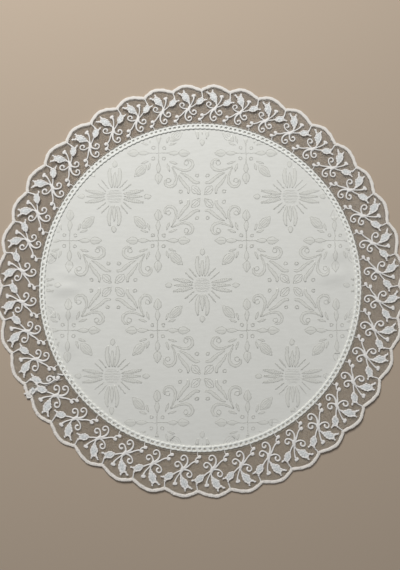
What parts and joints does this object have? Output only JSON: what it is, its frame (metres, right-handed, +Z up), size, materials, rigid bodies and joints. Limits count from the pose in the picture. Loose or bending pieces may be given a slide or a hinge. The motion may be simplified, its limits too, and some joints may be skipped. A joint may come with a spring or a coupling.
{
  "type": "lace tablecloth",
  "caption": "Round white table topper lying flat: damask centre, ladder braid over the seam, sheer embroidered lace edge with corded scallops.",
  "frame": {"origin": "middle of the cloth's outline, on the surface that the cloth lies on", "axes": "+Z up out of the table, through the cloth; +Y towards the top of the picture; +X to the right of the picture"},
  "size_m": [0.497, 0.5039, 0.0033],
  "materials": {
    "damask": "matte woven damask, white on white, figures a shade duller than the ground",
    "lace": "sheer fine tulle with satin-stitched sprays and a soft corded edge",
    "braid": "matte cotton braid of two cords with rungs between them"
  },
  "bodies": {
    "root": {"damask_panel": "damask", "lace_edging": "lace", "ladder_braid": "braid"}
  },
  "joints": []
}
